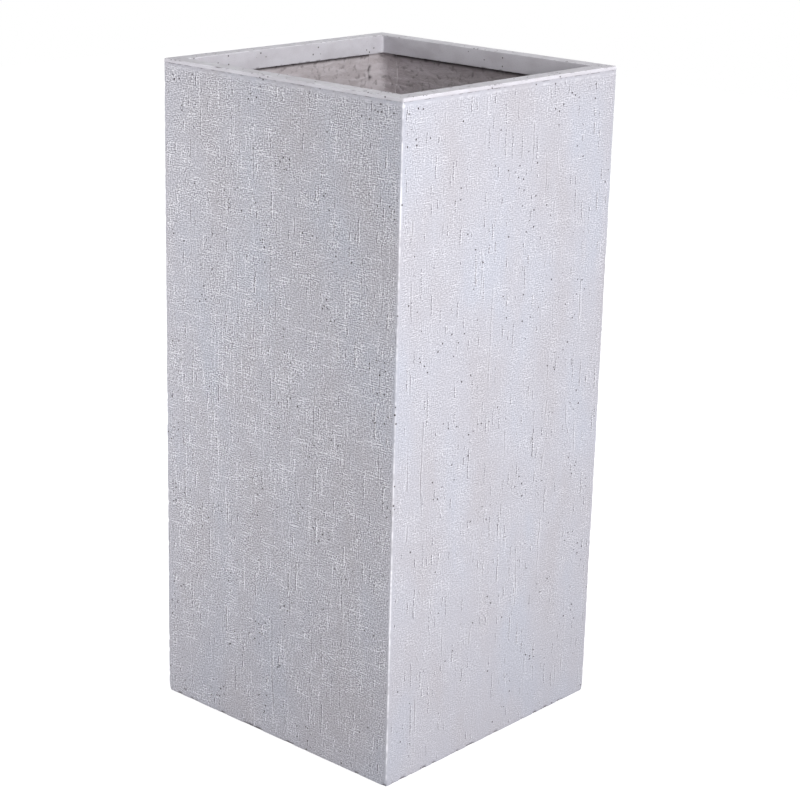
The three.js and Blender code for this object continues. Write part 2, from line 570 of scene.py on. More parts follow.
def pinholes(tree: Tree, place: Socket, cell: float, crowding: float, share: float) -> Socket:
    """Round pinholes, 1 inside them, at most one to a cell and up to a sixth of a cell in radius.

    Args:
        tree: the node tree.
        place: Object coordinates.
        cell: the cell's size, in metres.
        crowding: how far slow noise gathers the holes into crowds, from 0.
        share: the share of cells with a hole in them outside the crowds.

    Returns:
        The holes' mask.
    """
    cells = add_node(tree, "TexVoronoi", {"Vector": place, "Scale": 1 / cell})
    chance = add_node(tree, "SeparateColor", [cells["Color"]])["Red"]
    crowd = cloudy(tree, place, (CROWD_SIZE,) * 3, Detail=1.0)
    crowd = add_node(tree, "MapRange", [crowd, 0.42, 0.68, 0.0, crowding], **EASED)[0]
    chosen = add_node(tree, "Math", [chance, crowd], operation="ADD")[0]
    radius = add_node(tree, "MapRange", [chosen, 1 - share, 1.4 - share, 0.0, 0.17], **EASED)[0]
    inside = add_node(tree, "Math", [radius, cells["Distance"]], operation="SUBTRACT")[0]
    return add_node(tree, "MapRange", [inside, 0.0, 0.05], **EASED)[0]


def dashes(
    tree: Tree, place: Socket, cell: tuple[float, float], share: float, half_width: float
) -> tuple[Socket, Socket]:
    """Short upright lines at random places, one at most in each cell.

    The nearest point of a cell pattern gives a line's middle, and the cell's colour gives its length and
    strength.

    Args:
        tree: the node tree.
        place: flat coordinates.
        cell: the cell's size along and up, in metres.
        share: the share of cells that have a line.
        half_width: half the line's width, in metres.

    Returns:
        The line itself, 0 to its strength, and the lip on its right, which stands proud and which the
        face coat paints pale as a highlight.
    """
    size = (*cell, 1.0)
    scaled = add_node(tree, "VectorMath", [place, size], operation="DIVIDE")[0]
    cells = add_node(tree, "TexVoronoi", {"Vector": scaled, "Scale": 1.0}, voronoi_dimensions="2D")
    away = add_node(tree, "VectorMath", [scaled, cells["Position"]], operation="SUBTRACT")[0]
    away = add_node(tree, "VectorMath", [away, size], operation="MULTIPLY")[0]
    across, lengthwise, _ = add_node(tree, "SeparateXYZ", [away])
    lengthwise = add_node(tree, "Math", [lengthwise], operation="ABSOLUTE")[0]
    red, green, _ = add_node(tree, "SeparateColor", [cells["Color"]])
    reach = add_node(tree, "MapRange", [green, 0.0, 1.0, 0.04 * cell[1], 0.27 * cell[1]], **EASED)[0]
    spare = add_node(tree, "Math", [reach, lengthwise], operation="SUBTRACT")[0]
    opening = add_node(tree, "MapRange", [spare, 0.0, 0.06 * cell[1]], **EASED)[0]
    strength = add_node(tree, "MapRange", [red, 1 - share, 1 - 0.4 * share], **EASED)[0]
    strength = add_node(tree, "Math", [strength, opening], operation="MULTIPLY")[0]
    parts = []
    for middle in (0.0, 2.0 * half_width):
        gap = add_node(tree, "Math", [across, middle], operation="SUBTRACT")[0]
        gap = add_node(tree, "Math", [gap], operation="ABSOLUTE")[0]
        part = add_node(tree, "MapRange", [gap, 0.5 * half_width, 1.4 * half_width, 1.0, 0.0], **EASED)[0]
        parts.append(add_node(tree, "Math", [part, strength], operation="MULTIPLY")[0])
    return parts[0], parts[1]


@dataclass(frozen=True)
class Finish:
    """What every finish shares: its name, its gloss, and a tree that starts from Object coordinates."""

    name: str
    roughness: float
    ior: float = 1.5

    def begin(self) -> tuple[bpy.types.Material, Tree, Socket]:
        """A new material, its empty tree, and the socket of the Object coordinates."""
        material = bpy.data.materials.new(self.name)
        material.use_nodes = True
        tree = material.node_tree
        tree.nodes.clear()
        return material, tree, add_node(tree, "TexCoord")["Object"]

    def close(self, tree: Tree, colour: Socket, relief: Socket, depth: float) -> None:
        """Ends a tree with the relief, in depths of the given length, the shader and the output.

        Args:
            tree: the node tree.
            colour: the finished colour.
            relief: the height, in depths.
            depth: the length of one depth, in metres.
        """
        bumped = add_node(tree, "Bump", {"Height": relief, "Distance": depth, "Strength": 1.0})["Normal"]
        values = {"Base Color": colour, "Normal": bumped, "Roughness": self.roughness, "IOR": self.ior}
        shader = add_node(tree, "BsdfPrincipled", values)[0]
        add_node(tree, "OutputMaterial", [shader])


@dataclass(frozen=True)
class WovenCoat(Finish):
    """Stone-resin face coat cast against hessian: matt, with the weave's threads printed in it.

    The print is a fine grain with short, uneven, level and upright strokes, rubbed flat in patches. Each
    thread is painted pale on one side and grey on the other, as painted light and shade. The slits are
    painted grey as painted shade, and their lips and the ridges pale as painted highlights. Loose threads
    left thin slits and ridges, and trapped air left pinholes.

    Relief is the length of one depth, and the shade offset is how far a thread's painted shade lies beside
    it. Each cell and bunch is given along the wall and up it, and a gap is from one line to the next.
    """

    base: str = "#b7b6bf"
    warm: str = "#b0abb0"
    cool: str = "#b6bccb"
    darker_foot: str = "#8b8486"
    pale: str = "#f4f3f9"
    painted_shade_grey: str = "#6f6d75"
    dirt_and_shade: str = "#5f5a5e"
    hole: str = "#4d4849"
    relief: float = 0.15 * MM
    shade_offset: float = 0.8 * MM
    grain_cells: tuple[tuple[float, float], ...] = ((4.0 * MM, 1.2 * MM), (1.5 * MM, 3.6 * MM))
    grain_range: float = 0.225
    slit_cells: tuple[tuple[float, float], ...] = ((13 * MM, 66 * MM), (9 * MM, 24 * MM))
    slit_share: float = 0.4
    slit_half_width: float = 0.6 * MM
    level_gap: float = 3.4 * MM
    level_bunch: tuple[float, float] = (24 * MM, 8 * MM)
    upright_gap: float = 5.6 * MM
    upright_bunch: tuple[float, float] = (4 * MM, 30 * MM)

    def material(self) -> bpy.types.Material:
        """Makes the finish.

        Returns:
            The material.
        """
        material, tree, place = self.begin()
        flat = along_walls(tree, place)
        depth = add_node(tree, "Attribute", attribute_name="print_depth")["Fac"]
        # Hessian has a thread each 1.5 to 2 mm. One is less than 2 pixels wide here, so the grain is drawn as
        # coarse as it shows: as noise in level and upright cells about 4 mm long and 1.2 to 1.5 mm wide.
        grain = 0.0
        for cell in self.grain_cells:
            step = (0.0, self.shade_offset) if cell[0] > cell[1] else (self.shade_offset, 0.0)
            threads = beside_itself(tree, flat, cell, step)
            grain = add_node(tree, "Math", [threads, grain], operation="ADD")[0]
        grain = add_node(tree, "MapRange", [grain, -self.grain_range, self.grain_range, -1.0, 1.0])[0]
        grain = add_node(tree, "Math", [grain, depth], operation="MULTIPLY")[0]
        slit, lip, ridge = self.loose_threads(tree, flat, grain, depth)
        holes = pinholes(tree, place, cell=6.5 * MM, crowding=0.7, share=0.13)
        parts = (
            # Each part with its relief, in depths, its share of pale painted highlight and its share of grey
            # painted shade.
            (grain, 0.4, 0.8, -0.8),
            (ridge, 1.4, 1.0, -0.5),
            (slit, -2.5, 0.0, 3.4),
            (lip, 1.2, 1.1, 0.0),
            (holes, -5.0, 0.0, 0.0),
        )
        totals = [0.0, 0.0, 0.0]
        for part, *shares in parts:
            totals = [
                add_node(tree, "Math", [part, share, total], operation="MULTIPLY_ADD")[0]
                for share, total in zip(shares, totals)
            ]
        relief, painted_highlight, painted_shade = totals
        pale_tone, dark_tone = toned(tree)
        clouds = cloudy(tree, place, (60 * MM, 60 * MM, 130 * MM), Detail=4.0)
        warmth = add_node(tree, "MapRange", [clouds, 0.52, 0.3, 0.0, 0.5], **EASED)[0]
        coolness = add_node(tree, "MapRange", [clouds, 0.48, 0.7, 0.0, 0.4], **EASED)[0]
        # Clouds of a darker colour towards the foot.
        _, _, height = add_node(tree, "SeparateXYZ", [place])
        darker_foot_mask = add_node(tree, "MapRange", [height, 0.3, 0.0, 0.0, 0.2], **EASED)[0]
        darker_foot_mask = add_node(tree, "Math", [darker_foot_mask, clouds], operation="MULTIPLY")[0]
        layers = [(warmth, self.warm), (coolness, self.cool), (darker_foot_mask, self.darker_foot)]
        # Painted highlight in pale on one side of each thread, on the ridges and on the lips; painted shade
        # in grey on the other side and in the slits.
        layers += [(painted_shade, self.painted_shade_grey), (painted_highlight, self.pale)]
        # The mesh's tone: pale wear on the arrises and painted highlights on the lips; dark in the seam and
        # the chips, and painted shade in the slits.
        layers += [(pale_tone, self.pale), (dark_tone, self.dirt_and_shade), (holes, self.hole)]
        self.close(tree, painted(tree, self.base, layers), relief, self.relief)
        return material

    def loose_threads(
        self, tree: Tree, flat: Socket, grain: Socket, depth: Socket
    ) -> tuple[Socket, Socket, Socket]:
        """The slits that loose upright threads left, the lips beside them, and the thicker threads' ridges.

        Args:
            tree: the node tree.
            flat: flat coordinates.
            grain: the grain, which breaks the slits into dots.
            depth: how deep the print is.

        Returns:
            The slits, their lips and the ridges, each from 0 to about 1.
        """
        bend = cloudy(tree, flat, (14 * MM, 14 * MM))
        bend = add_node(tree, "Math", [bend, 3.0 * MM], operation="MULTIPLY")[0]
        bend = add_node(tree, "CombineXYZ", [bend, bend])[0]
        bent = add_node(tree, "VectorMath", [flat, bend], operation="ADD")[0]
        slit, lip = 0.0, 0.0
        for cell in self.slit_cells:
            lines, lips = dashes(tree, bent, cell, self.slit_share, self.slit_half_width)
            slit = add_node(tree, "Math", [slit, lines], operation="MAXIMUM")[0]
            lip = add_node(tree, "Math", [lip, lips], operation="MAXIMUM")[0]
        dotted = add_node(tree, "MapRange", [grain, -1.0, 0.6, 1.3, 0.5], **EASED)[0]
        slit = add_node(tree, "Math", [slit, dotted], operation="MULTIPLY")[0]
        slit, lip = (add_node(tree, "Math", [part, depth], operation="MULTIPLY")[0] for part in (slit, lip))
        level = bands(tree, bent, self.level_gap, "Y", self.level_bunch)
        upright = bands(tree, bent, self.upright_gap, "X", self.upright_bunch)
        upright = add_node(tree, "Math", [upright, 0.75], operation="MULTIPLY")[0]
        ridge = add_node(tree, "Math", [level, upright], operation="MAXIMUM")[0]
        deepest = add_node(tree, "Math", [depth, 1.6], operation="POWER")[0]
        ridge = add_node(tree, "Math", [ridge, deepest], operation="MULTIPLY")[0]
        return slit, lip, ridge


@dataclass(frozen=True)
class CastStone(Finish):
    """Smooth cast stone-resin, as the rim is: matt, with fine grain, pinholes and rubbed pale edges."""

    base: str = "#d6d4db"
    shade: str = "#cac7ce"
    speck: str = "#9a9497"
    pale: str = "#f4f3f9"
    dark: str = "#575256"

    def material(self) -> bpy.types.Material:
        """Makes the finish.

        Returns:
            The material.
        """
        material, tree, place = self.begin()
        clouds = cloudy(tree, place, (30 * MM, 30 * MM, 20 * MM), Detail=4.0)
        clouds = add_node(tree, "MapRange", [clouds, 0.35, 0.68], **EASED)[0]
        # Sand grains of 0.3 mm don't show from here, so they are drawn 0.9 mm across.
        grain = cloudy(tree, place, (0.9 * MM,) * 3, Detail=3.0)
        specks = add_node(tree, "MapRange", [grain, 0.32, 0.44, 0.25, 0.0], **EASED)[0]
        pale_tone, dark_tone = toned(tree)
        holes = pinholes(tree, place, cell=6 * MM, crowding=1.0, share=0.3)
        layers = [(clouds, self.shade), (specks, self.speck)]
        # The dark tone paints nicks and chips, and painted shade along the collar's lower edge.
        layers += [(pale_tone, self.pale), (dark_tone, self.dark), (holes, self.dark)]
        relief = add_node(tree, "Math", [holes, -2.5, grain], operation="MULTIPLY_ADD")[0]
        self.close(tree, painted(tree, self.base, layers), relief, 0.2 * MM)
        return material


@dataclass(frozen=True)
class HandLaidLaminate(Finish):
    """Glass mat laid up by hand in clay-coloured resin: brown-grey, rough, with strokes, fibres and pits."""

    base: str = "#c5bdc0"
    pale: str = "#d6cfd3"
    deep: str = "#7d7577"
    pit_and_shade: str = "#2f2928"

    def material(self) -> bpy.types.Material:
        """Makes the finish.

        Returns:
            The material.
        """
        material, tree, place = self.begin()
        sweep = cloudy(tree, place, (34 * MM, 34 * MM, 8 * MM), Detail=4.0, Distortion=0.9)
        fibres = cloudy(tree, place, (3.4 * MM, 3.4 * MM, 1.5 * MM), Detail=3.0, Distortion=0.5)
        lumps = cloudy(tree, place, (7 * MM, 7 * MM, 6 * MM), Detail=4.0)
        light = add_node(tree, "MapRange", [sweep, 0.38, 0.66], **EASED)[0]
        dark = add_node(tree, "MapRange", [lumps, 0.3, 0.46, 0.55, 0.0], **EASED)[0]
        threads = add_node(tree, "MapRange", [fibres, 0.56, 0.7, 0.0, 0.5], **EASED)[0]
        _, dark_tone = toned(tree)
        # The dark tone paints the pits and, on the mats, painted shade under the collar.
        layers = [(light, self.pale), (dark, self.deep), (threads, self.pale), (dark_tone, self.pit_and_shade)]
        relief = add_node(tree, "Math", [fibres, 0.5, lumps], operation="MULTIPLY_ADD")[0]
        relief = add_node(tree, "Math", [sweep, 1.2, relief], operation="MULTIPLY_ADD")[0]
        self.close(tree, painted(tree, self.base, layers), relief, 1.6 * MM)
        return material


@dataclass(frozen=True)
class MouldedRubber(Finish):
    """Black moulded rubber, satin where it was rubbed, with a fine mould grain and a bloom of grey dust."""

    base: str = "#262628"
    dust: str = "#4a4849"

    def material(self) -> bpy.types.Material:
        """Makes the finish.

        Returns:
            The material.
        """
        material, tree, place = self.begin()
        bloom = cloudy(tree, place, (8 * MM,) * 3, Detail=5.0)
        bloom = add_node(tree, "MapRange", [bloom, 0.42, 0.72], **EASED)[0]
        grain = cloudy(tree, place, (0.5 * MM,) * 3, Detail=2.0)
        self.close(tree, painted(tree, self.base, [(bloom, self.dust)]), grain, 0.05 * MM)
        return material


# ---- Pieces --------------------------------------------------------------------------------------


def cavity_half() -> float:
    """Half the width between the inner faces of opposite mats."""
    return -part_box("wall_mat_front")[1].y


@dataclass
class WovenWall:
    """One wall of the face coat, from mid arris to mid arris, wrapped down over the base.

    The finest of the woven print is in the finish. The mesh carries the coarser threads, the upright slits
    that loose threads left, broad unevenness, the rounded arrises with their nicks, and a ridge along the
    top.
    """

    side: Side
    finish: bpy.types.Material
    thickness: float = 2.5 * MM
    skin_depth: float = 0.35 * MM  # how far in the plain face lies, as room for the relief
    deepest: float = 2.4 * MM  # the most that a chip or nick takes, short of the back
    column_step: float = 2.6 * MM
    row_step: float = 1.31 * MM
    slit_lines: int = 13
    slit_depth: float = 0.4 * MM
    thread_depth: float = 0.2 * MM
    broad_depth: float = 0.18 * MM
    nick_depth: float = 0.8 * MM
    seam_depth: float = 1.2 * MM
    ridge_height: float = 0.25 * MM
    ridge_below_top: float = 3.6 * MM
    chip_depth: float = 1.1 * MM

    def __post_init__(self) -> None:
        """Reads the coat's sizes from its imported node."""
        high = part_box("face_coat")[1]
        self.half = high.x
        self.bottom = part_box("base_slab")[0].z + FOOT_CLEARANCE
        self.top = high.z
        self.inner_half = self.half - self.thickness
        self.flat_half = self.half - ARRIS_RADIUS
        self.seed = 100 * (self.side.value + 1)
        self.random = np.random.default_rng(self.seed)

    def lines(self) -> np.ndarray:
        """Where the slit lines stand along the wall: even places, each moved at random by up to a third.

        Returns:
            One place per line, in metres from the middle.
        """
        reach = self.flat_half - 12 * MM
        even = np.linspace(-reach, reach, self.slit_lines)
        play = (even[1] - even[0]) / 3
        return even + self.random.uniform(-play, play, self.slit_lines)

    def columns(self, lines: np.ndarray) -> np.ndarray:
        """Places along the wall: even steps, closer ones across each slit line, and both half arcs.

        Args:
            lines: where the slit lines stand.

        Returns:
            The places, from left to right, measured along the flat and on round the arcs.
        """
        steps = round(2 * self.flat_half / self.column_step)
        even = np.linspace(-self.flat_half, self.flat_half, steps + 1)
        clear = np.abs(even[:, None] - lines).min(1) > 2.2 * MM
        clear[[0, -1]] = True
        across = np.array([-1.4, -0.65, 0.0, 0.65, 1.4]) * MM
        arc = ARRIS_RADIUS * np.linspace(0, QUARTER_TURN / 2, 5)[1:] + self.flat_half
        return np.sort(np.concatenate([even[clear], (lines[:, None] + across).ravel(), arc, -arc]))

    def rows(self) -> np.ndarray:
        """Heights: even steps, with closer ones round the foot and through the ridge along the top.

        Returns:
            The heights, upwards.
        """
        foot = self.bottom + FOOT_ARRIS * (1 - np.cos(np.linspace(0, QUARTER_TURN, 6)))
        ridge = self.top - np.array([1.7, 1.3, 0.95, 0.65, 0.4, 0.2, 0.0]) * MM
        steps = round((ridge[0] - foot[-1]) / self.row_step)
        return np.concatenate([foot, np.linspace(foot[-1], ridge[0], steps)[1:-1], ridge])

    def wander(self, stand: np.ndarray, height: np.ndarray, lines: np.ndarray) -> np.ndarray:
        """How far each point is drawn aside with the slit lines near it, which bend as they climb.

        A line's own bend is slow noise and a little fast noise, and it fades with exp(-(gap / 7 mm)^2).

        Args:
            stand: how far along the wall each point stands.
            height: its height.
            lines: where the slit lines stand.

        Returns:
            The shift along the wall, in metres.
        """
        total = np.zeros(stand.shape)
        for number, line in enumerate(lines):
            at = np.stack([height[:, 0] / (40 * MM), 0 * height[:, 0] + number, 0 * height[:, 0]], -1)
            slow, fast = value_noise(at, self.seed + 1), value_noise(at * [4, 1, 1], self.seed + 2)
            bend = 2.4 * MM * slow + 0.5 * MM * fast
            total += bend[:, None] * bump(stand - line, 7 * MM)
        return total * smoothstep(0, 9 * MM, self.flat_half - np.abs(stand))

    def slits(self, stand: np.ndarray, height: np.ndarray, lines: np.ndarray) -> np.ndarray:
        """The slits' relief, -1 at the deepest and about 0.35 on the lips.

        Across a line the shape is a narrow bell downwards with a low bell upwards on either side. Along it
        noise, cut off below a threshold, opens and closes the slit. A wall has few strong slits and more
        faint ones.

        Args:
            stand: how far along the wall each point stands.
            height: its height.
            lines: where the slit lines stand.

        Returns:
            The relief of each point.
        """
        total = np.zeros(stand.shape)
        lengths = self.random.uniform(10, 26, len(lines)) * MM
        for number, (line, length) in enumerate(zip(lines, lengths)):
            near = np.abs(stand[0] - line) < 2.4 * MM
            gap = stand[:, near] - line
            at = np.stack([height[:, near] / length, 0 * gap + number, 0 * gap], -1)
            force = 0.55 + 0.45 * value_noise(at * [0.31, 1, 1], self.seed + 5)
            opening = smoothstep(0.18, 0.55, value_noise(at, self.seed + 7)) * force
            shape = -bump(gap, 0.5 * MM) + 0.35 * bump(np.abs(gap) - 1.3 * MM, 0.5 * MM)
            total[:, near] += opening * shape
        return total

    def rubbed(self, flat: np.ndarray) -> np.ndarray:
        """How deep the print is left: 1, less where it was rubbed flat in patches and near the foot.

        Args:
            flat: how far along the wall each point stands, 0, and its height.

        Returns:
            The share that is left.
        """
        patches = smoothstep(-0.45, 0.45, fractal_noise(flat, (13 * MM, 1, 19 * MM), self.seed + 29, 4))
        near_foot = 0.72 + 0.28 * smoothstep(0, 200 * MM, flat[..., 2])
        return (0.6 + 0.4 * patches) * near_foot

    def threads(self, flat: np.ndarray) -> np.ndarray:
        """The coarser threads of the print, about -1 to 1: level and upright strokes.

        Args:
            flat: how far along the wall each point stands, 0, and its height.

        Returns:
            The relief of each point.
        """
        level = fractal_noise(flat, (10 * MM, 1, 2.6 * MM), self.seed + 17, 2)
        upright = fractal_noise(flat, (4 * MM, 1, 20 * MM), self.seed + 23, 1)
        return 0.65 * level + 0.45 * upright

    def arris_wear(self, height: np.ndarray, corner: int) -> tuple[np.ndarray, np.ndarray]:
        """How deep an arris is worn at each height, and how pale, from one noise per corner.

        Args:
            height: the height of each point.
            corner: the arris's number, counted from the front left.

        Returns:
            The depth in metres, and the paleness from 0.1 to 1.
        """
        at = np.stack([height / (7 * MM), 0 * height + corner, 0 * height], -1)
        coarse = value_noise(at * [0.3, 1, 1], 31)
        fine = value_noise(at * [2.2, 1, 1], 47)
        nicks = smoothstep(0.35, 0.95, value_noise(at, 59)) + 0.6 * smoothstep(0.45, 1.0, fine)
        foot = 2.2 * MM * bump(height - self.bottom, 5 * MM)
        depth = 0.12 * MM * (1 + coarse) + self.nick_depth * nicks + foot
        pale = np.clip(0.62 + 0.3 * coarse + 0.25 * fine, 0.1, 1.0)
        return depth, pale

    def seam(self, along: np.ndarray, height: np.ndarray) -> tuple[np.ndarray, np.ndarray]:
        """The seam that parts the wall from the collar's lip, open in places, and the proud ridge below it.

        Each is a bell across its height. Noise along the wall opens the seam, and raises the ridge with it.

        Args:
            along: how far along the flat each point stands.
            height: its height.

        Returns:
            The seam and the ridge, each 0 to 1.
        """
        from_top = self.top - height
        at = np.stack([along / (4 * MM), 0 * along, 0 * along], -1)
        gaps = smoothstep(-0.1, 0.6, fractal_noise(at, (1, 1, 1), self.seed + 37, 2))
        ridge = (0.4 + 0.6 * gaps) * bump(from_top - self.ridge_below_top, 0.9 * MM)
        return gaps * bump(from_top, 0.5 * MM), ridge

    def chips(self, flat: np.ndarray) -> np.ndarray:
        """The chips along the foot, 0 to 1: noise cut off below a threshold, fading upwards."""
        chips = smoothstep(0.1, 0.45, fractal_noise(flat, (7 * MM, 1, 9 * MM), self.seed + 41, 3))
        return chips * bump(flat[..., 2] - self.bottom, 3 * MM)

    def surface(self) -> Surface:
        """The wall as a closed panel: its outer face a grid, its edges and back flat.

        On the flat a column at s stands at (s, -half). Past it s turns by angle a = (|s| - flat) / radius, to
        (flat + radius sin a, -flat - radius cos a). Relief moves each point along the outward normal.

        Returns:
            The closed panel, turned to its wall.
        """
        lines = self.lines()
        stand, height = np.meshgrid(self.columns(lines), self.rows())
        along = np.clip(stand, -self.flat_half, self.flat_half)
        angle = (stand - along) / ARRIS_RADIUS
        drift = self.wander(stand, height, lines)
        flat = np.stack([along + drift, 0 * along, height], -1)
        slit = self.slits(stand, height, lines)
        rubbed = self.rubbed(flat)
        threads = self.threads(flat) * rubbed
        broad = fractal_noise(flat, (60 * MM, 1, 75 * MM), self.seed + 11, 3)
        # The print dies out towards the arrises, the smooth lip and the foot.
        fade = smoothstep(0.0, 4 * MM, self.flat_half - np.abs(along))
        fade = fade * smoothstep(2 * MM, 7 * MM, self.top - height)
        fade = fade * smoothstep(0, 5 * MM, height - self.bottom)
        relief = self.broad_depth * broad + self.thread_depth * threads + self.slit_depth * slit
        # The tone follows the relief: painted shade in the slits and on low threads, and painted highlights
        # on the slits' lips and high threads.
        tone = (np.minimum(slit, 0) * 0.8 + np.maximum(slit, 0) * 1.2 + 0.12 * threads) * fade
        offset = -self.skin_depth + relief * fade
        for end, corner in ((-1, self.side.value), (1, (self.side.value + 1) % 4)):
            depth, pale = self.arris_wear(height, corner)
            from_arris = np.abs(stand - end * (self.flat_half + ARRIS_RADIUS * QUARTER_TURN / 2))
            offset = offset - depth * bump(from_arris, 1.5 * MM)
            tone = tone + pale * bump(from_arris, 1.3 * MM)
        seam, ridge = self.seam(along, height)
        offset = offset + self.ridge_height * ridge - self.seam_depth * seam
        # The foot's arris is a quarter round of radius r, at height h lying r - sqrt(r^2 - (r - h)^2) back.
        rise = np.clip(height - self.bottom, 0, FOOT_ARRIS)
        offset = offset - (FOOT_ARRIS - np.sqrt(FOOT_ARRIS**2 - (FOOT_ARRIS - rise) ** 2))
        chips = self.chips(flat)
        offset = np.clip(offset - self.chip_depth * chips, -self.deepest, 0)
        tone = np.clip(tone + 0.6 * ridge - 1.25 * seam - 1.2 * chips, -1, 1)
        normal = np.stack([np.sin(angle), -np.cos(angle), 0 * angle], -1)
        centre = np.stack([along + drift, 0 * along - self.flat_half, height], -1)
        points = centre + normal * (ARRIS_RADIUS + offset)[..., None]
        print_depth = PRINT_AND_SHADE_STRENGTH[self.side] * rubbed * (0.15 + 0.85 * fade)
        ends = (-self.inner_half, self.inner_half)
        back = np.array([[x, -self.inner_half, z] for z in (self.bottom, self.top) for x in ends])
        return closed_panel(self.side, points, back, tone, print_depth)

    def build(self) -> bpy.types.Object:
        """Makes the wall and puts it in place of the coat."""
        piece = self.surface().make(f"woven_wall_{self.side.name.lower()}", self.finish)
        return fit(piece, "tub", "face_coat", "face_coat")


@dataclass
class BackingMat:
    """The mat behind one wall. Its face into the planter is lumpy, with sunken pits, and the rest is flat."""

    side: Side
    finish: bpy.types.Material
    step: float = 3.2 * MM
    lump_height: float = 0.55 * MM
    pit_depth: float = 0.9 * MM

    def __post_init__(self) -> None:
        """Reads the mat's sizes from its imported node."""
        self.node = f"wall_mat_{self.side.name.lower()}"
        low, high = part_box(self.node)
        self.width = max(high.x - low.x, high.y - low.y)
        self.thickness = min(high.x - low.x, high.y - low.y)
        self.bottom, self.top = low.z, high.z
        self.outer_half = max(abs(low.x), high.x, abs(low.y), high.y)
        self.seed = 300 + 10 * self.side.value

    def surface(self) -> Surface:
        """The mat as a closed slab, whose inner face has lumps, pits and painted shade under the collar.

        Returns:
            The closed slab, turned to its wall.
        """
        across = np.linspace(-self.width / 2, self.width / 2, round(self.width / self.step) + 1)
        up = np.linspace(self.bottom, self.top, round((self.top - self.bottom) / self.step) + 1)
        x, z = np.meshgrid(across[::-1], up)
        flat = np.stack([x, 0 * x, z], -1)
        lumps = fractal_noise(flat, (48 * MM, 1, 30 * MM), self.seed, 4)
        edge = np.minimum(self.width / 2 - np.abs(x), np.minimum(z - self.bottom, self.top - z))
        fade = smoothstep(0, 12 * MM, edge)
        pits = smoothstep(0.45, 0.8, fractal_noise(flat, (6 * MM, 1, 6 * MM), self.seed + 5, 2))
        crowd = smoothstep(0.1, 0.6, fractal_noise(flat, (60 * MM, 1, 60 * MM), self.seed + 9, 2))
        pits = pits * crowd
        # Painted shade: dark in the top few millimetres, where the collar overhangs the mat.
        painted_shade_under_collar = smoothstep(7 * MM, 1 * MM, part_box("rim_collar")[0].z - z)
        inwards = (self.lump_height * lumps - self.pit_depth * pits) * fade
        inner = -(self.outer_half - self.thickness)
        points = np.stack([x, inner + inwards, z], -1)
        tone = -np.clip(0.8 * pits + painted_shade_under_collar, 0, 1)
        ends = (self.width / 2, -self.width / 2)
        back = np.array([[x, -self.outer_half, z] for z in (self.bottom, self.top) for x in ends])
        return closed_panel(self.side, points, back, tone)

    def build(self) -> bpy.types.Object:
        """Makes the mat and puts it in place of its node."""
        piece = self.surface().make(f"backing_mat_{self.side.name.lower()}", self.finish)
        return fit(piece, "tub", "laminate", self.node)


@dataclass
class LappedStrip:
    """The strip of mat lapped over the joint in an inner corner: feathered legs and a filled round corner."""

    corner: Corner
    finish: bpy.types.Material
    row_step: float = 4 * MM
    lump_height: float = 0.35 * MM
    uneven_share: float = 0.16

    def __post_init__(self) -> None:
        """Reads the strip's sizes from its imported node."""
        self.node = f"corner_strip_{self.corner.name.lower()}"
        low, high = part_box(self.node)
        self.leg = high.x - low.x
        self.bottom, self.top = low.z, high.z
        self.inner_half = max(abs(low.x), abs(high.x))
        self.seed = 500 + 10 * self.corner.value

    def surface(self) -> Surface:
        """The strip's section carried up the corner.

        The section is an L with thin leg ends and a concave round. Noise along the height moves the leg
        ends in and out by some millimetres and roughens the face, which is dark and pitted along the leg
        ends.

        Returns:
            The closed strip, turned to its corner.
        """
        fillet = STRIP_THICKNESS + STRIP_FILLET_RADIUS
        leg_end = np.array([[self.leg, 0.0], [self.leg, FEATHER_EDGE]])
        leg = np.linspace(leg_end[1], [fillet, STRIP_THICKNESS], 8)[1:-1]
        angle = np.linspace(3 * QUARTER_TURN, 2 * QUARTER_TURN, 9)[:, None]
        arc = fillet + STRIP_FILLET_RADIUS * np.concatenate([np.cos(angle), np.sin(angle)], 1)
        half = np.concatenate([leg_end, leg, arc])
        section = np.concatenate([half, np.concatenate([leg_end, leg])[::-1, ::-1], [[0.0, 0.0]]])
        rows = round((self.top - self.bottom) / self.row_step)
        z = np.linspace(self.bottom, self.top, rows + 1)[:, None]
        x, y = section[:, 0] + 0 * z, section[:, 1] + 0 * z
        height = z + 0 * x
        reach = np.maximum(x, y)
        ends = smoothstep(0.45 * self.leg, self.leg, reach)
        at = np.stack([height, 0 * height + np.sign(x - y), 0 * height], -1)
        wander = fractal_noise(at, (16 * MM, 1, 1), self.seed, 3) - 0.6
        shrink = 1 + ends * self.uneven_share * wander
        x = np.where(x >= y, x * shrink, x)
        y = np.where(y > x, y * shrink, y)
        lump_at = np.stack([x, y, height], -1)
        lumps = self.lump_height * fractal_noise(lump_at, (9 * MM, 9 * MM, 14 * MM), self.seed + 3, 3)
        off_wall = smoothstep(0, FEATHER_EDGE, np.minimum(x, y))
        x, y = x + lumps * off_wall * (x < y), y + lumps * off_wall * (y <= x)
        pits = smoothstep(0.1, 0.6, fractal_noise(lump_at, (7 * MM, 7 * MM, 9 * MM), self.seed + 5, 2))
        tone = -0.9 * pits * ends
        points = np.stack([x - self.inner_half, y - self.inner_half, height], -1)
        count = len(section)
        faces = grid_faces(rows + 1, count, False, True)
        caps = [np.arange(count)[::-1], rows * count + np.arange(count)]
        vertices = turned(points.reshape(-1, 3), self.corner.value)
        return Surface(vertices, [faces], tone.ravel(), caps)

    def build(self) -> bpy.types.Object:
        """Makes the strip and puts it in place of its node."""
        piece = self.surface().make(f"lapped_strip_{self.corner.name.lower()}", self.finish)
        return fit(piece, "tub", "laminate", self.node)


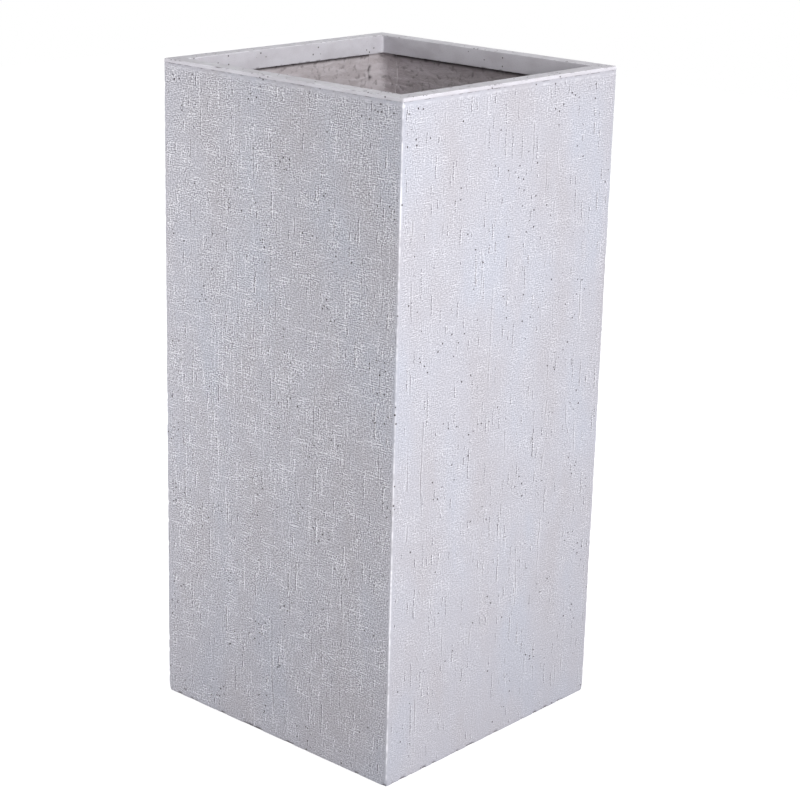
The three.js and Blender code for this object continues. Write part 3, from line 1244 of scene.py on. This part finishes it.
@dataclass
class RimCollar:
    """The cast rim: a flat top with rubbed arrises, a thin lip over the wall and a deep band in the mouth."""

    finish: bpy.types.Material
    lip_step: float = 0.35 * MM
    top_room: float = 0.1 * MM  # room for the waviness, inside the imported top
    arris: float = 1.2 * MM
    lower_arris: float = 0.9 * MM
    section_step: float = 1.6 * MM
    nick_depth: float = 0.7 * MM

    def __post_init__(self) -> None:
        """Reads the collar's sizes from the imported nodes."""
        low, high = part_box("rim_collar")
        self.half, self.top, self.bottom = high.x, high.z, low.z
        self.wall_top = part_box("face_coat")[1].z
        self.mouth = self.half - RIM_WIDTH

    def surface(self) -> Surface:
        """The collar's section carried round the mouth, a little wavy, with a ragged lower edge and nicks.

        Returns:
            The closed ring.
        """
        face, inner, top = self.half - self.lip_step, cavity_half(), self.top - self.top_room
        section = rounded_outline(
            [
                (face, self.wall_top, 0.0),
                (face, top, self.arris),
                (self.mouth, top, self.arris),
                (self.mouth, self.bottom, self.lower_arris),
                (inner, self.bottom, 0.0),
                (inner, self.wall_top, 0.0),
            ],
            self.section_step,
        )
        radius = np.clip(ARRIS_RADIUS - (self.half - section[:, 0]), MOUTH_CORNER_RADIUS, ARRIS_RADIUS)
        plan = SquarePlan(flat_steps=190, arc_steps=8)
        ring = SquareRing(plan, section[:, 0], section[:, 1], radius)
        return ring.surface(self.relief)

    def relief(self, points: np.ndarray, normals: np.ndarray) -> tuple[np.ndarray, np.ndarray]:
        """How far each point moves and its tone.

        Broad and fine noise give the waviness. Near an arris, told by a normal between two of the section's
        directions, noise cut off below a threshold gives nicks, and the tone goes pale. Along the lower
        edge of the band it gives a ragged edge, with a dark line of painted shade where the band overhangs
        the mats.

        Args:
            points: places on the section carried round.
            normals: the outward normals there.

        Returns:
            The move along the normal in metres, and the tone.
        """
        height = points[..., 2]
        wide = np.abs(points[..., :2]).max(-1)
        broad = fractal_noise(points, (60 * MM,) * 3, 71, 3)
        fine = fractal_noise(points, (5 * MM,) * 3, 83, 3)
        offset = (0.1 * broad + 0.05 * fine - 0.12) * MM
        up = normals[..., 2]
        slanted = bump(np.abs(up) - 0.7, 0.4) * (height > self.wall_top)
        nicks = smoothstep(0.17, 0.68, fractal_noise(points, (4 * MM,) * 3, 97, 3))
        offset = offset - self.nick_depth * nicks * slanted
        rubbed = 0.6 + 0.6 * fractal_noise(points, (14 * MM,) * 3, 101, 3)
        tone = slanted * (0.85 * np.clip(rubbed, 0, 1) - 1.6 * nicks)
        in_mouth = wide < self.mouth + 1 * MM
        lower = bump(height - self.bottom, 1.4 * MM) * in_mouth
        ragged = fractal_noise(points, (7 * MM,) * 3, 113, 3)
        offset = offset + 0.35 * MM * lower * ragged
        # Painted shade: a dark ragged line along the band's lower edge, where it overhangs the mats.
        tone = tone - 0.7 * lower * smoothstep(0.0, 0.5, ragged)
        hidden = (height < self.wall_top + 0.2 * MM) & (wide > self.mouth + 1 * MM)
        return np.where(hidden, 0, offset), np.clip(np.where(hidden, 0, tone), -1, 1)

    def build(self) -> bpy.types.Object:
        """Makes the collar and puts it in place of its node."""
        return fit(self.surface().make("cast_rim_collar", self.finish), "tub", "cast_stone", "rim_collar")


@dataclass
class BaseSlab:
    """The cast base: a level floor round the drain hole, and a foot that the walls wrap down over."""

    finish: bpy.types.Material
    behind_walls: float = 1.6 * MM  # how far the foot stands back from the walls' outer faces
    hole_arris: float = 1.2 * MM
    section_step: float = 3.0 * MM

    def __post_init__(self) -> None:
        """Reads the slab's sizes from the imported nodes."""
        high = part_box("base_slab")[1]
        self.face, self.floor = high.x - self.behind_walls, high.z
        self.foot_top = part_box("face_coat")[0].z
        self.inner = cavity_half()

    def surface(self) -> Surface:
        """The slab's section carried round the plan, which is a circle at the hole and a square outside.

        The plan's corner radius is the half width at the hole and falls, with the square of the way out, to
        the arris radius at the walls.

        Returns:
            The closed ring round the drain hole.
        """
        section = rounded_outline(
            [
                (DRAIN_HOLE_RADIUS, 0.0, self.hole_arris),
                (self.face, 0.0, FOOT_ARRIS),
                (self.face, self.foot_top, 0.0),
                (self.inner, self.foot_top, 0.0),
                (self.inner, self.floor, 0.0),
                (DRAIN_HOLE_RADIUS, self.floor, self.hole_arris),
            ],
            self.section_step,
            arc_steps=6,
        )
        way_out = (section[:, 0] - DRAIN_HOLE_RADIUS) / (self.inner - DRAIN_HOLE_RADIUS)
        round_share = np.clip(1 - way_out, 0, 1) ** 2
        radius = ARRIS_RADIUS + (section[:, 0] - ARRIS_RADIUS) * round_share
        plan = SquarePlan(flat_steps=150, arc_steps=8)
        ring = SquareRing(plan, section[:, 0], section[:, 1], radius)
        return ring.surface(self.relief)

    def relief(self, points: np.ndarray, normals: np.ndarray) -> tuple[np.ndarray, np.ndarray]:
        """How far each point moves and its tone: a slightly wavy floor, and chips in the foot's arris.

        Args:
            points: places on the section carried round.
            normals: the outward normals there.

        Returns:
            The move along the normal in metres, and the tone.
        """
        height = points[..., 2]
        wide = np.abs(points[..., :2]).max(-1)
        outside = wide > self.inner + 1 * MM
        slanted = bump(np.abs(normals[..., 2]) - 0.7, 0.45) * outside * (height < 4 * MM)
        chips = smoothstep(0.15, 0.7, fractal_noise(points, (9 * MM,) * 3, 127, 3))
        small = smoothstep(0.25, 0.8, fractal_noise(points, (3.5 * MM,) * 3, 131, 2))
        offset = -(1.3 * chips + 0.5 * small) * MM * slanted
        on_floor = (height > self.floor - 0.5 * MM) & (normals[..., 2] > 0.5)
        offset = offset + np.where(on_floor, 0.3 * MM * fractal_noise(points, (40 * MM,) * 3, 137, 3), 0)
        tone = -0.85 * np.maximum(chips, small) * slanted
        return offset, tone

    def build(self) -> bpy.types.Object:
        """Makes the slab and puts it in place of its node."""
        return fit(self.surface().make("cast_base", self.finish), "tub", "cast_stone", "base_slab")


@dataclass
class FloorCove:
    """The putty fillet round the floor: a hollow curve, thumbed in, with uneven feathered edges."""

    finish: bpy.types.Material
    dent_depth: float = 0.5 * MM

    def __post_init__(self) -> None:
        """Reads the cove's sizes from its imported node."""
        low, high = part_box("floor_cove")
        self.outer, self.bottom, self.top = high.x, low.z, high.z

    def surface(self) -> Surface:
        """The cove's section, a quarter hollow with thin ends, carried round the floor and dented.

        Returns:
            The closed ring.
        """
        radius = self.top - self.bottom - FEATHER_EDGE
        inner = self.outer - radius - FEATHER_EDGE
        angle = np.linspace(0, QUARTER_TURN, 9)
        half = np.concatenate([[self.outer, inner], inner + radius * np.sin(angle), [self.outer]])
        curve = self.top - radius * np.cos(angle)
        height = np.concatenate([[self.bottom, self.bottom], curve, [self.top]])
        corner = np.full(len(half), FEATHER_EDGE)
        ring = SquareRing(SquarePlan(flat_steps=90, arc_steps=3), half, height, corner)
        return ring.surface(self.relief)

    def relief(self, points: np.ndarray, normals: np.ndarray) -> tuple[np.ndarray, np.ndarray]:
        """How far each point moves and its tone: thumb dents on the hollow, none against its neighbours.

        Args:
            points: places on the section carried round.
            normals: the outward normals there.

        Returns:
            The move along the normal in metres, and the tone.
        """
        height = points[..., 2]
        wide = np.abs(points[..., :2]).max(-1)
        free = smoothstep(0, 2 * MM, self.outer - wide) * smoothstep(0, 2 * MM, height - self.bottom)
        offset = self.dent_depth * free * fractal_noise(points, (14 * MM,) * 3, 149, 3)
        return offset, np.zeros(height.shape)

    def build(self) -> bpy.types.Object:
        """Makes the cove and puts it in place of its node."""
        return fit(self.surface().make("putty_cove", self.finish), "tub", "laminate", "floor_cove")


@dataclass
class DrainPlug:
    """The rubber stopper in the drain hole: a domed flange with a rolled edge on a hollow tapered stem."""

    finish: bpy.types.Material
    sides: int = 64
    dish_depth: float = 1.0 * MM
    roof: float = 1.0 * MM

    def surface(self) -> Surface:
        """The plug's half section turned about Z.

        The ends of the section lie on the axis, so a single vertex closes the top and another the hollow.

        Returns:
            The closed surface.
        """
        low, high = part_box("drain_plug")
        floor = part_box("base_slab")[1].z
        head, hollow = high.x, PLUG_STEM_END_RADIUS - PLUG_WALL
        outline = rounded_outline(
            [
                (0.0, floor - self.roof, 0.0),
                (hollow, floor - self.roof, 0.8 * MM),
                (hollow, low.z, 0.5 * MM),
                (PLUG_STEM_END_RADIUS, low.z, 1.0 * MM),
                (PLUG_STEM_TOP_RADIUS, floor, 0.3 * MM),
                (head, floor, 0.5 * MM),
                (head, high.z, 1.5 * MM),
                (0.6 * head, high.z, 1.0 * MM),
                (0.55 * head, high.z - self.dish_depth, 0.6 * MM),
                (0.0, high.z - self.dish_depth, 0.0),
            ],
            1.5 * MM,
        )
        first, last = np.flatnonzero(outline[:, 0] < 1e-9)[:2]
        walked = outline[first : last + 1]
        body = walked[1:-1]
        angle = np.linspace(0, 4 * QUARTER_TURN, self.sides, endpoint=False)
        across, up = body[:, :1], body[:, 1:]
        points = np.stack([across * np.cos(angle), across * np.sin(angle), up + 0 * angle], -1)
        ends = np.array([[0, 0, walked[0, 1]], [0, 0, walked[-1, 1]]])
        vertices = np.concatenate([points.reshape(-1, 3), ends])
        rows, here = len(body), np.arange(self.sides)
        following, top_row = (here + 1) % self.sides, (rows - 1) * self.sides
        low_end = np.full(self.sides, rows * self.sides)
        fan_low = np.stack([low_end, following, here], -1)
        fan_top = np.stack([low_end + 1, top_row + here, top_row + following], -1)
        faces = [grid_faces(rows, self.sides, False, True), fan_low, fan_top]
        return Surface(vertices, faces, np.zeros(len(vertices)))

    def build(self) -> bpy.types.Object:
        """Makes the plug and puts it in place of its node."""
        return fit(self.surface().make("rubber_stopper", self.finish), "plug", "plug_rubber", "drain_plug")


# ---- Studio --------------------------------------------------------------------------------------


def frame_matrix(x_axis: np.ndarray, y_axis: np.ndarray, z_axis: np.ndarray, where: np.ndarray) -> Matrix:
    """The matrix whose columns are the three axes and the place.

    Args:
        x_axis: the unit X axis.
        y_axis: the unit Y axis.
        z_axis: the unit Z axis.
        where: the place.

    Returns:
        The matrix.
    """
    rows = np.eye(4)
    rows[:3] = np.stack([x_axis, y_axis, z_axis, where], axis=1)
    return Matrix(rows.tolist())


@dataclass(frozen=True)
class StudioCamera:
    """The camera, at the photograph's place.

    The line of sight is turned from +Y towards +X by the azimuth and down by the elevation. It aims at a
    point on the planter's axis, moved to the camera's right.
    """

    azimuth_deg: float = 48.34
    elevation_deg: float = 17.32
    roll_deg: float = 1.50
    distance: float = 2.2531
    aim_right: float = 0.01754
    aim_height: float = 0.34202
    lens_mm: float = 94.16

    def build(self) -> None:
        """Makes the camera and hands it to the scene."""
        turn, tilt, roll = (math.radians(a) for a in (self.azimuth_deg, self.elevation_deg, self.roll_deg))
        sight = np.array([math.sin(turn) * math.cos(tilt), math.cos(turn) * math.cos(tilt), -math.sin(tilt)])
        right = np.array([math.cos(turn), -math.sin(turn), 0.0])
        up = np.cross(right, sight)
        aim = np.array([0.0, 0.0, self.aim_height]) + right * self.aim_right
        rolled_right = right * math.cos(roll) + up * math.sin(roll)
        rolled_up = up * math.cos(roll) - right * math.sin(roll)
        data = bpy.data.cameras.new("studio_camera")
        data.lens = self.lens_mm
        data.sensor_width = 36.0
        camera = bpy.data.objects.new("studio_camera", data)
        bpy.context.scene.collection.objects.link(camera)
        camera.matrix_world = frame_matrix(rolled_right, rolled_up, -sight, aim - sight * self.distance)
        bpy.context.scene.camera = camera


@dataclass(frozen=True)
class SoftLamp:
    """A square area lamp that faces the planter.

    Its direction is given as the azimuth that it shines from, turned from -Y towards -X, and its height
    angle.
    """

    name: str
    azimuth_deg: float
    elevation_deg: float
    distance: float
    size: float
    power: float
    aim_height: float = 0.4

    def build(self) -> None:
        """Makes the lamp."""
        turn, tilt = math.radians(self.azimuth_deg), math.radians(self.elevation_deg)
        away = np.array([-math.sin(turn) * math.cos(tilt), -math.cos(turn) * math.cos(tilt), math.sin(tilt)])
        data = bpy.data.lights.new(self.name, "AREA")
        data.shape = "SQUARE"
        data.size = self.size
        data.energy = self.power
        lamp = bpy.data.objects.new(self.name, data)
        bpy.context.scene.collection.objects.link(lamp)
        side = np.cross([0.0, 0.0, 1.0], away)
        side /= np.linalg.norm(side)
        where = away * self.distance + np.array([0.0, 0.0, self.aim_height])
        lamp.matrix_world = frame_matrix(side, np.cross(away, side), away, where)


@dataclass(frozen=True)
class Studio:
    """The pale floor, the soft lamps and the white surround."""

    floor_size: float = 8.0
    floor_colour: str = "#cacacc"
    white_near: float = 0.69
    white_far: float = 0.95
    surround_light: float = 0.16
    lift_start: float = 0.25
    lift_end: float = 0.7
    lamps: tuple[SoftLamp, ...] = (
        # Azimuth, elevation, distance, size, power and, where it isn't the middle, the height aimed at.
        SoftLamp("key_softbox", 14.0, 22.0, 2.2, 1.1, 47.5, 0.28),
        SoftLamp("side_softbox", 127.0, 15.0, 1.15, 0.46, 6.5, 0.32),
        SoftLamp("back_softbox", 230.0, 50.0, 2.2, 1.1, 16.0),
    )

    def build(self) -> None:
        """Makes the floor, the world and the lamps."""
        self.floor()
        self.surround()
        for lamp in self.lamps:
            lamp.build()

    def seen_directly(self, tree: Tree) -> Socket:
        """1 for rays from the camera, or by way of gloss or glass, and 0 for rays that carry light.

        Args:
            tree: the node tree.

        Returns:
            The mask.
        """
        path = add_node(tree, "LightPath")
        seen = path["Is Camera Ray"]
        for kind in ("Is Glossy Ray", "Is Transmission Ray"):
            seen = add_node(tree, "Math", [seen, path[kind]], operation="MAXIMUM")[0]
        return seen

    def floor(self) -> None:
        """A level floor that lights like pale grey card and is seen as white, apart from the shadow."""
        half = self.floor_size / 2
        mesh = bpy.data.meshes.new("studio_floor")
        corners = [(-half, -half, 0.0), (half, -half, 0.0), (half, half, 0.0), (-half, half, 0.0)]
        mesh.from_pydata(corners, [], [(0, 1, 2, 3)])
        material = bpy.data.materials.new("pale_studio_card")
        material.use_nodes = True
        tree = material.node_tree
        tree.nodes.clear()
        card = add_node(tree, "BsdfDiffuse", [linear(self.floor_colour)])[0]
        place = add_node(tree, "TexCoord")["Object"]
        away = add_node(tree, "VectorMath", [place], operation="LENGTH")["Value"]
        ends = [self.lift_start, self.lift_end, self.white_near, self.white_far]
        lift = add_node(tree, "MapRange", [away, *ends], **EASED)[0]
        lift = add_node(tree, "Math", [self.seen_directly(tree), lift], operation="MULTIPLY")[0]
        white = add_node(tree, "Emission", [linear("#ffffff"), lift])[0]
        add_node(tree, "OutputMaterial", [add_node(tree, "AddShader", [card, white])[0]])
        mesh.materials.append(material)
        floor = bpy.data.objects.new("studio_floor", mesh)
        bpy.context.scene.collection.objects.link(floor)

    def surround(self) -> None:
        """White to the camera and in reflections, and a plain dim grey as light."""
        world = bpy.data.worlds.new("studio_surround")
        bpy.context.scene.world = world
        world.use_nodes = True
        tree = world.node_tree
        tree.nodes.clear()
        seen = self.seen_directly(tree)
        strength = add_node(tree, "MapRange", [seen, 0.0, 1.0, self.surround_light, 1.0])[0]
        white = add_node(tree, "Background", [linear("#ffffff"), strength])[0]
        add_node(tree, "OutputWorld", [white])
        bpy.context.scene.view_settings.view_transform = "Standard"


def main() -> None:
    """Builds the planter's pieces in the order of the lay-up, then the studio."""
    logging.basicConfig(level=logging.INFO, format="%(name)s: %(message)s")
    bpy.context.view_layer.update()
    StudioCamera().build()
    woven = WovenCoat("hessian_printed_face_coat", roughness=0.86).material()
    stone = CastStone("smooth_cast_stone_resin", roughness=0.78).material()
    laminate = HandLaidLaminate("hand_laid_glass_mat", roughness=0.9).material()
    rubber = MouldedRubber("black_moulded_rubber", roughness=0.62).material()
    for side in Side:
        WovenWall(side, woven).build()
    for side in Side:
        BackingMat(side, laminate).build()
    for corner in Corner:
        LappedStrip(corner, laminate).build()
    BaseSlab(stone).build()
    FloorCove(laminate).build()
    RimCollar(stone).build()
    DrainPlug(rubber).build()
    Studio().build()


if __name__ == "__main__":
    main()
